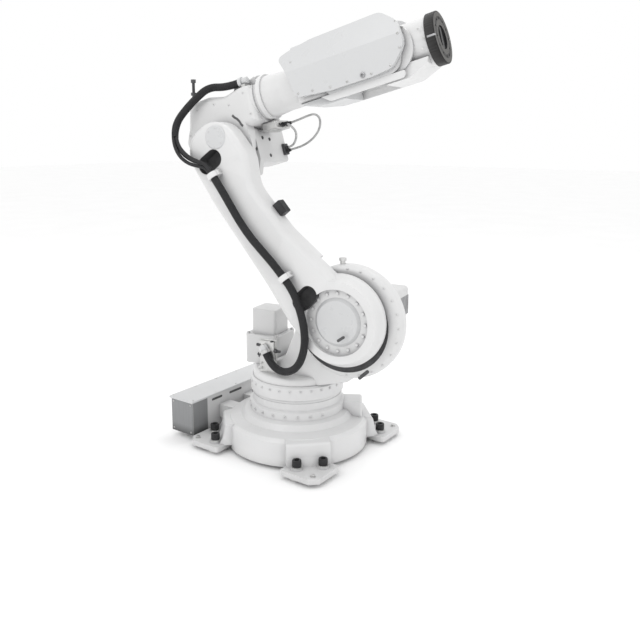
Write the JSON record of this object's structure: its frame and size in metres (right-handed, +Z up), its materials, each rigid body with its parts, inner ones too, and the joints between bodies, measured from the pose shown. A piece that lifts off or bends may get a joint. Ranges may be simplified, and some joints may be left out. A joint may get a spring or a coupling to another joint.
{
  "type": "industrial robot arm",
  "caption": "White six-axis industrial robot arm on a bolted round base, with black hose loops at the shoulder and elbow and a dark tool flange.",
  "frame": {"origin": "on axis 1 at floor level", "axes": "+Z up along axis 1, -X towards the cable box at the back of the base, +X the arm's forward direction with axis 1 at zero"},
  "size_m": [1.3368, 0.9284, 2.0295],
  "materials": {
    "white_paint": "satin",
    "grey_sheet": "satin",
    "bare_steel": "satin",
    "dark_steel": "satin",
    "black_plastic": "matte",
    "hose_rubber": "matte"
  },
  "bodies": {
    "base": {"base_casting": "white_paint", "foot_pads": "bare_steel", "rear_box": "white_paint", "rear_box_ends": "grey_sheet", "rear_box_lid": "grey_sheet", "rear_box_carriers": "bare_steel", "base_connector": "black_plastic", "axis_1_stop": "dark_steel"},
    "turret": {"turret_ring": "white_paint", "turret_casting": "white_paint", "shoulder_seal": "black_plastic", "axis_1_motor_flange": "white_paint", "axis_1_motor": "white_paint", "axis_2_motor_flange": "white_paint", "axis_2_motor": "white_paint", "lifting_knob": "dark_steel", "hose_bracket": "bare_steel", "shoulder_hose_fitting": "white_paint", "shoulder_hose_loop": "hose_rubber"},
    "lower_arm": {"lower_arm": "white_paint", "arm_round_covers": "white_paint", "hose_clamps": "white_paint", "arm_switch_box": "black_plastic", "arm_hose": "hose_rubber"},
    "upper_arm": {"elbow_housing": "white_paint", "axis_3_motor_plate": "bare_steel", "axis_3_motor": "white_paint", "axis_3_motor_socket": "black_plastic", "axis_4_motor": "white_paint", "elbow_side_cover": "white_paint", "elbow_hose_bracket": "bare_steel", "vent_fitting": "dark_steel", "cable_block": "black_plastic", "elbow_hose_fitting": "white_paint", "elbow_hose_loop": "hose_rubber", "motor_leads": "black_plastic"},
    "forearm": {"forearm_neck": "white_paint", "forearm_fork": "white_paint", "forearm_side_covers": "white_paint", "forearm_top_cover": "white_paint", "forearm_belly_cover": "white_paint", "forearm_rails": "white_paint"},
    "wrist": {"wrist_housing": "white_paint", "wrist_chin": "white_paint"},
    "tool": {"tool_flange": "dark_steel"}
  },
  "joints": [
    {"name": "axis_1", "type": "hinge", "parent": "base", "child": "turret", "pos_m": [0, 0, 0], "axis": [0, 0, 1], "range_deg": [-179, 161]},
    {"name": "axis_2", "type": "hinge", "parent": "turret", "child": "lower_arm", "pos_m": [0.31606, 0.05006, 0.705], "axis": [-0.1564, 0.9877, 0], "range_deg": [-25, 125], "deforming": ["shoulder_hose_loop"]},
    {"name": "axis_3", "type": "hinge", "parent": "lower_arm", "child": "upper_arm", "pos_m": [-0.30294, -0.04798, 1.45189], "axis": [0.1564, -0.9877, 0], "range_deg": [-45, 205], "deforming": ["elbow_hose_loop"]},
    {"name": "axis_4", "type": "hinge", "parent": "upper_arm", "child": "forearm", "pos_m": [-0.3533, -0.05596, 1.64218], "axis": [0.954, 0.1511, 0.2588], "range_deg": [-300, 300]},
    {"name": "axis_5", "type": "hinge", "parent": "forearm", "child": "wrist", "pos_m": [0.49102, 0.07777, 1.87124], "axis": [-0.1564, 0.9877, 0], "range_deg": [-130, 130]},
    {"name": "axis_6", "type": "hinge", "parent": "wrist", "child": "tool", "pos_m": [0.68183, 0.10799, 1.923], "axis": [0.954, 0.1511, 0.2588], "range_deg": [-300, 300]}
  ]
}
